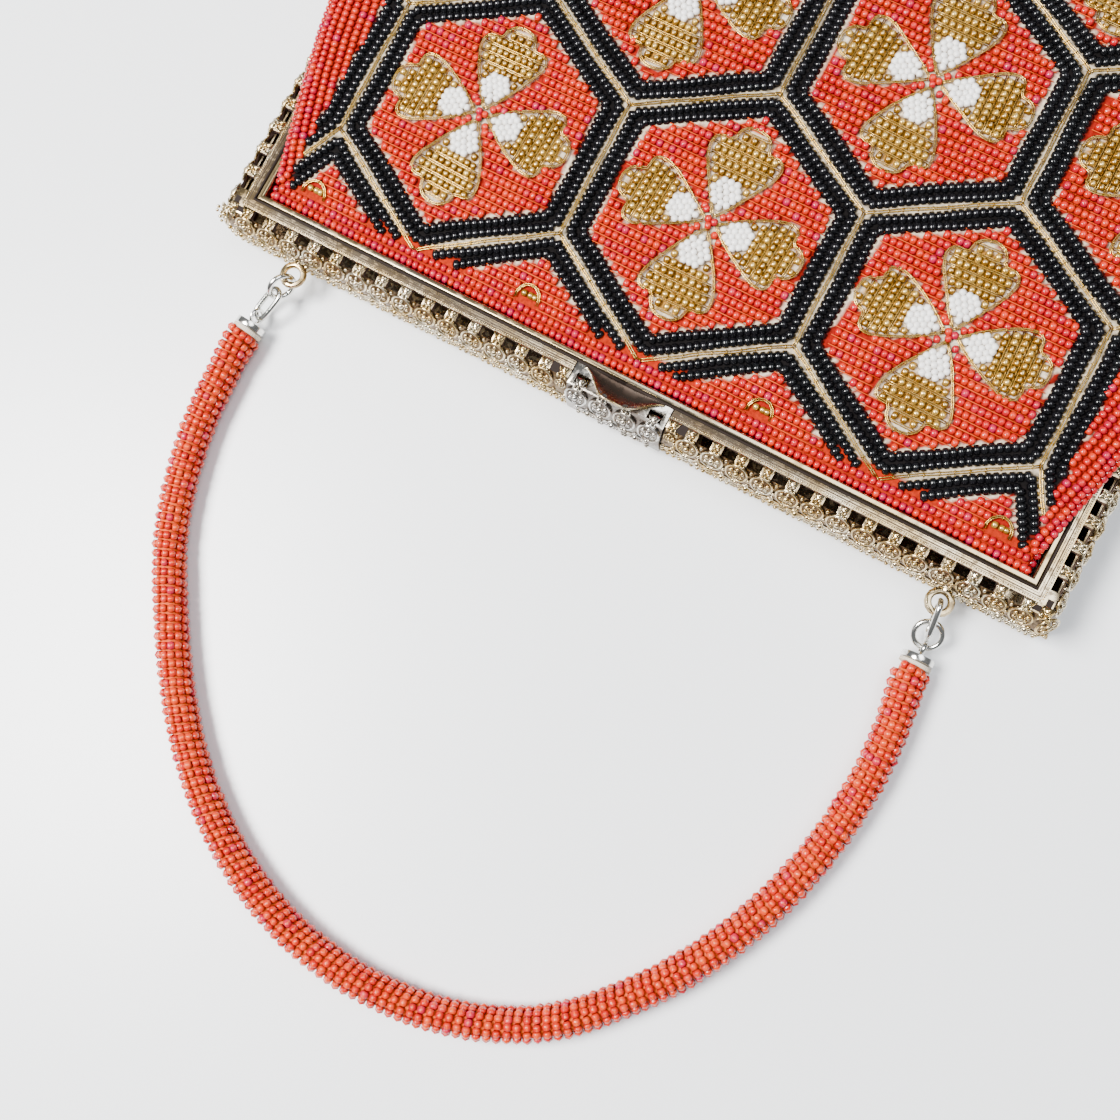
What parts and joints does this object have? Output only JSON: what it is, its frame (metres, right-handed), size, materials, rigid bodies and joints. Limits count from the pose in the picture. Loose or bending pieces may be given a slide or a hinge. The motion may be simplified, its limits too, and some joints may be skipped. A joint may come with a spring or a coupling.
{
  "type": "beaded frame handbag",
  "caption": "Small beaded handbag with a pierced metal frame, a lift clasp with a flared lip and a beaded rope handle on links, lying on its back.",
  "frame": {"origin": "on the surface that the bag lies on, under the middle of the flattened back of the pouch", "axes": "+X along the frame, +Y from the frame to the bottom edge of the bag, +Z out of the front panel"},
  "size_m": [0.216, 0.2804, 0.0218],
  "materials": {
    "beaded_cloth": "rows of glossy coral glass beads with black, gold and white beads sewn on cream cloth",
    "coral_beads": "glossy transparent coral glass beads with a pink and gold shimmer",
    "pale_gold": "pale gold plating, darkened in the recesses and worn to silver on the high spots",
    "polished_rim": "smooth polished pale gold, lightly tarnished",
    "worn_silver": "gold plating worn to silver, brownish on the lip",
    "silver_links": "bright silver-coloured wire"
  },
  "bodies": {
    "bag": {"bag_body": "beaded_cloth", "back_frame": "pale_gold", "front_rim": "polished_rim", "clasp_pin": "silver_links", "hinge_rivet_left": "pale_gold", "hinge_rivet_right": "pale_gold", "handle_eye_left": "pale_gold", "handle_eye_right": "pale_gold", "oval_link_left": "silver_links", "oval_link_right": "silver_links", "jump_ring_left": "silver_links", "jump_ring_right": "silver_links", "end_cap_left": "silver_links", "end_cap_right": "silver_links", "handle_rope": "coral_beads"},
    "clasp": {"clasp_lever": "worn_silver"}
  },
  "joints": [
    {"name": "clasp_lift", "type": "hinge", "parent": "bag", "child": "clasp", "pos_m": [0, -0.06905, 0.0036], "axis": [1, 0, 0], "range_deg": [0, 45]}
  ]
}
